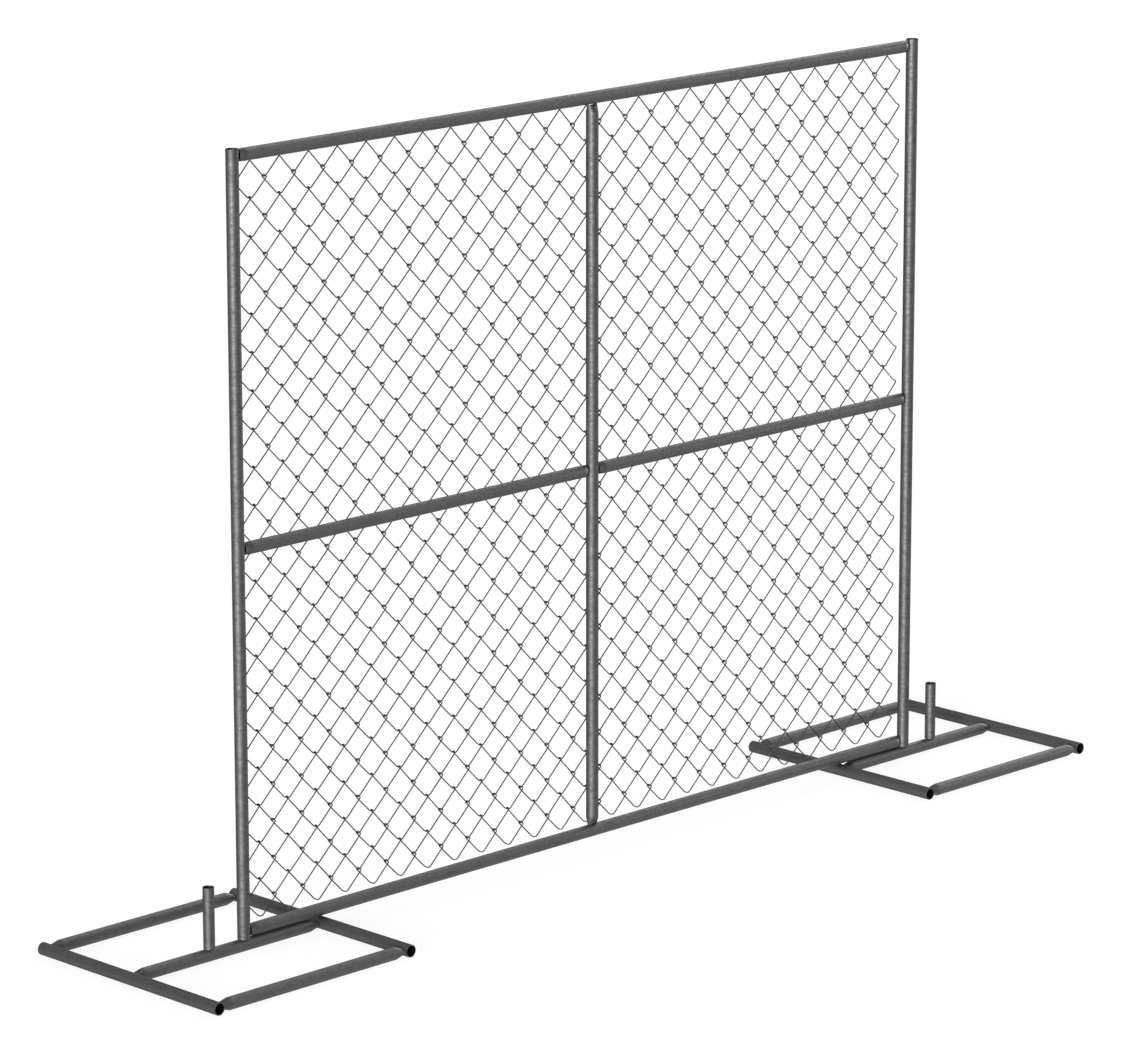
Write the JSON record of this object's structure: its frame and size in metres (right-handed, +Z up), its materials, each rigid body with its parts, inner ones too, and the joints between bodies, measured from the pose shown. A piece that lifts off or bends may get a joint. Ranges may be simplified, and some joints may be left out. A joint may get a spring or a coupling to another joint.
{
  "type": "chain-link site barrier",
  "caption": "Free-standing site barrier: a galvanised tube panel filled with chain-link mesh, its posts slipped over upright spigots on square tubular floor stands.",
  "frame": {"origin": "on the ground, midway between the two posts, in the plane of the panel frame", "axes": "+X along the panel, +Y out of the panel on its mesh side, +Z up"},
  "size_m": [2.971, 0.61, 1.8593],
  "materials": {
    "panel_tube": "weathered galvanised",
    "stand_tube": "weathered galvanised",
    "spigot_tube": "weathered galvanised",
    "mesh_wire": "dull galvanised"
  },
  "bodies": {
    "left_stand": {"left_outer_cross_tube": "stand_tube", "left_inner_cross_tube": "stand_tube", "left_front_side_tube": "stand_tube", "left_middle_side_tube": "stand_tube", "left_rear_side_tube": "stand_tube", "left_spare_spigot": "spigot_tube"},
    "left_spigot": {"left_post_spigot": "spigot_tube"},
    "panel": {"left_post": "panel_tube", "right_post": "panel_tube", "top_rail": "panel_tube", "bottom_rail": "panel_tube", "centre_stiffener": "panel_tube", "left_middle_rail": "panel_tube", "right_middle_rail": "panel_tube", "mesh_wires_01": "mesh_wire", "mesh_wires_02": "mesh_wire", "mesh_wires_03": "mesh_wire", "mesh_wires_04": "mesh_wire", "mesh_wires_05": "mesh_wire", "mesh_wires_06": "mesh_wire", "mesh_wires_07": "mesh_wire", "mesh_wires_08": "mesh_wire", "mesh_wires_09": "mesh_wire", "mesh_wires_10": "mesh_wire", "mesh_wires_11": "mesh_wire", "mesh_wires_12": "mesh_wire", "mesh_wires_13": "mesh_wire", "mesh_wires_14": "mesh_wire", "mesh_wires_15": "mesh_wire", "mesh_wires_16": "mesh_wire", "mesh_wires_17": "mesh_wire", "mesh_wires_18": "mesh_wire", "mesh_wires_19": "mesh_wire", "mesh_wires_20": "mesh_wire"},
    "right_spigot": {"right_post_spigot": "spigot_tube"},
    "right_stand": {"right_outer_cross_tube": "stand_tube", "right_inner_cross_tube": "stand_tube", "right_front_side_tube": "stand_tube", "right_middle_side_tube": "stand_tube", "right_rear_side_tube": "stand_tube", "right_spare_spigot": "spigot_tube"}
  },
  "joints": [
    {"name": "left_stand_swivel", "type": "hinge", "parent": "left_stand", "child": "left_spigot", "pos_m": [-1.128, 0, 0.0303], "axis": [0, 0, 1], "range_deg": [-150, 150]},
    {"name": "panel_lift", "type": "slide", "parent": "left_spigot", "child": "panel", "axis": [0, 0, 1], "range_m": [0, 0.15]},
    {"name": "right_spigot_withdrawal", "type": "slide", "parent": "panel", "child": "right_spigot", "axis": [0, 0, -1], "range_m": [0, 0.15]},
    {"name": "right_stand_swivel", "type": "hinge", "parent": "right_spigot", "child": "right_stand", "pos_m": [1.128, 0, 0.0303], "axis": [0, 0, 1], "range_deg": [-150, 150]}
  ],
  "couplings": [
    {"joint": "right_spigot_withdrawal", "follows": "panel_lift", "ratio": 1}
  ]
}
